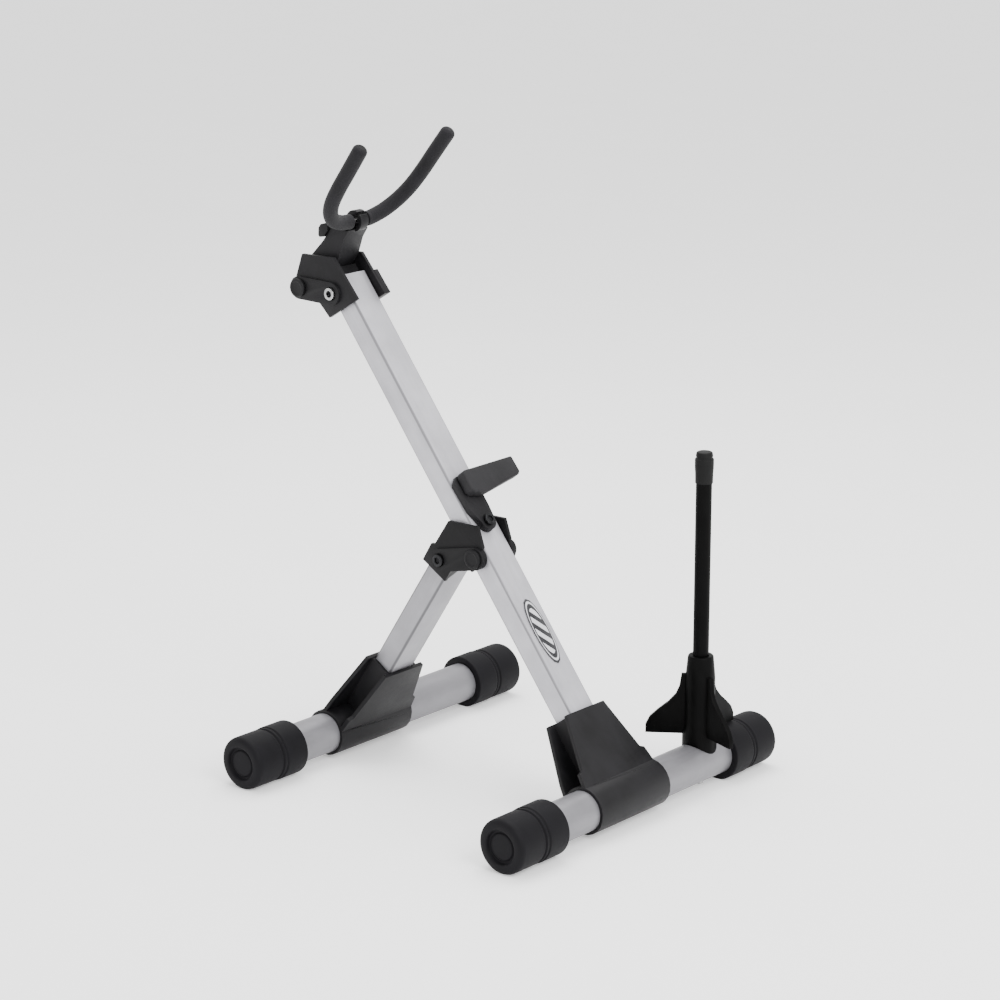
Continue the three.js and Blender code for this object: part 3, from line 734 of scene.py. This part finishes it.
def sleeve_line(hand, start):
    """A sleeve's centre line and its radii, in mm: a softened mouth, the foam tube and a domed tip that
    turns in at its end."""
    line = smooth_line(yoke_line(hand, start), 10)
    heading = (line[-1] - line[-2]).normalized()
    radii = [SLEEVE_RADIUS] * len(line)
    radii[0] = SLEEVE_RADIUS - 0.7
    line.insert(1, line[0].lerp(line[1], 0.12))
    radii.insert(1, SLEEVE_RADIUS - 0.15)
    end = line[-1]
    dome_steps = 8
    for step in range(1, dome_steps + 1):
        turn = step / dome_steps * math.pi / 2 * 0.92
        radii.append(TIP_FLAT + (SLEEVE_RADIUS - TIP_FLAT) * math.cos(turn))
        line.append(end + heading * (1.6 + (SLEEVE_RADIUS - 2) * math.sin(turn)))
    for radius, depth in ((1.3, 0.3), (1.2, 1.6)):
        radii.append(radius)
        line.append(line[-1] - heading * depth)
    return line, radii


yoke_normal = (YOKE_FRAME.to_3x3() @ Vector((0, 1, 0))).normalized()
for side, hand in (("left", -1), ("right", 1)):
    node = f"yoke_sleeve_{side}"
    flat_line, radii = sleeve_line(hand, SLEEVE_STARTS[side])
    world_line = [YOKE_FRAME @ (place * MM) for place in flat_line]
    sleeve = swept(f"{node}_foam", world_line, radii, yoke_normal, sides=48)
    finish_piece(sleeve, foam, "yoke", [node, f"yoke_tip_{side}"])

# ---- Peg ------------------------------------------------------------------------------------------
PEG_RADIUS = 6.6
PEG_SEGMENTS = 72
low, high = span("peg_shaft")
peg_foot, peg_head = low.z / MM, high.z / MM
shaft_profile = fillet(
    [(0, peg_foot), (PEG_RADIUS, peg_foot), (PEG_RADIUS, peg_head), (0, peg_head)],
    [0, 0.8, 0.5, 0],
)
peg_place = Matrix.Translation((PEG_AXIS.x, PEG_AXIS.y, 0))
shaft = lathe("peg_shaft_turned", shaft_profile, peg_place, PEG_SEGMENTS)
finish_piece(shaft, deep_plastic, "peg", ["peg_shaft"])
tip_top = span("peg_tip")[1].z / MM
tip_profile = fillet(
    [
        (6.9, tip_top - 26),
        (7.3, tip_top - 26),
        (7.4, tip_top - 18),
        (7.8, tip_top - 13),
        (7.8, tip_top - 6),
        (6.8, tip_top - 5.2),
        (6.8, tip_top - 4.2),
        (7.1, tip_top - 3.6),
        (6.6, tip_top),
        (0, tip_top),
        (0, tip_top - 8),
        (6.9, tip_top - 8),
    ],
    [0, 0.15, 1.5, 1.5, 0.4, 0.25, 0.25, 0.25, 1.6, 0, 0, 0],
)
tip = lathe("peg_tip_moulded", tip_profile, peg_place, PEG_SEGMENTS)
finish_piece(tip, peg_rubber, "peg", ["peg_tip"])

# ---- Studio ---------------------------------------------------------------------------------------
FLOOR_HALF = 6.0
FLOOR_GLOW = 0.3
WORLD_STRENGTH = 1.7
AIM = (0, 0, 0.22)  # the middle of the stand


def floor_plane():
    builder = bmesh.new()
    bmesh.ops.create_grid(builder, x_segments=2, y_segments=2, size=FLOOR_HALF)
    piece = object_from(builder, "studio_floor")
    material, tree, shader = new_material("pale_floor")
    tone = noise(tree, place_of(tree), 6)
    colour = mixed(tree, tone, (0.86, 0.86, 0.86), (0.9, 0.9, 0.9))
    tree.links.new(colour, shader.inputs["Base Color"])
    shader.inputs["Roughness"].default_value = 0.9
    shader.inputs["Specular IOR Level"].default_value = 0.1
    shader.inputs["Emission Color"].default_value = (1, 1, 1, 1)
    shader.inputs["Emission Strength"].default_value = FLOOR_GLOW
    piece.data.materials.append(material)


def area_light(name, place, size, power):
    """A rectangular soft light that points at the stand."""
    data = bpy.data.lights.new(name, "AREA")
    data.shape = "RECTANGLE"
    data.size, data.size_y = size
    data.energy = power
    lamp = bpy.data.objects.new(name, data)
    lamp.location = place
    lamp.rotation_euler = (Vector(AIM) - Vector(place)).to_track_quat("-Z", "Y").to_euler()
    bpy.context.scene.collection.objects.link(lamp)


floor_plane()
world = bpy.data.worlds.new("studio")
world.use_nodes = True
world.node_tree.nodes["Background"].inputs["Color"].default_value = (1, 1, 1, 1)
world.node_tree.nodes["Background"].inputs["Strength"].default_value = WORLD_STRENGTH
bpy.context.scene.world = world
area_light("key", (-0.3, -1.7, 1.5), (1.1, 1.1), 42)
area_light("fill", (-1.9, -0.2, 0.9), (1.2, 0.9), 7)
area_light("top", (0.4, 0.3, 1.9), (1.4, 1.2), 38)

# ---- Camera ---------------------------------------------------------------------------------------
AZIMUTH = math.radians(-49.49)
ELEVATION = math.radians(15.38)
LENS = 108
SENSOR = 36
FROM_FRONT_FOOT = Vector((-1803.3, -1397.8, 869.3)) * MM  # from the front foot's middle to the camera
camera_data = bpy.data.cameras.new("camera")
camera_data.lens = LENS
camera_data.sensor_width = SENSOR
camera = bpy.data.objects.new("camera", camera_data)
camera.location = front_foot + FROM_FRONT_FOOT
back = Vector(
    (
        math.sin(AZIMUTH) * math.cos(ELEVATION),
        -math.cos(AZIMUTH) * math.cos(ELEVATION),
        math.sin(ELEVATION),
    )
)
camera.rotation_mode = "QUATERNION"
camera.rotation_quaternion = (-back).to_track_quat("-Z", "Y")
bpy.context.scene.collection.objects.link(camera)
bpy.context.scene.camera = camera
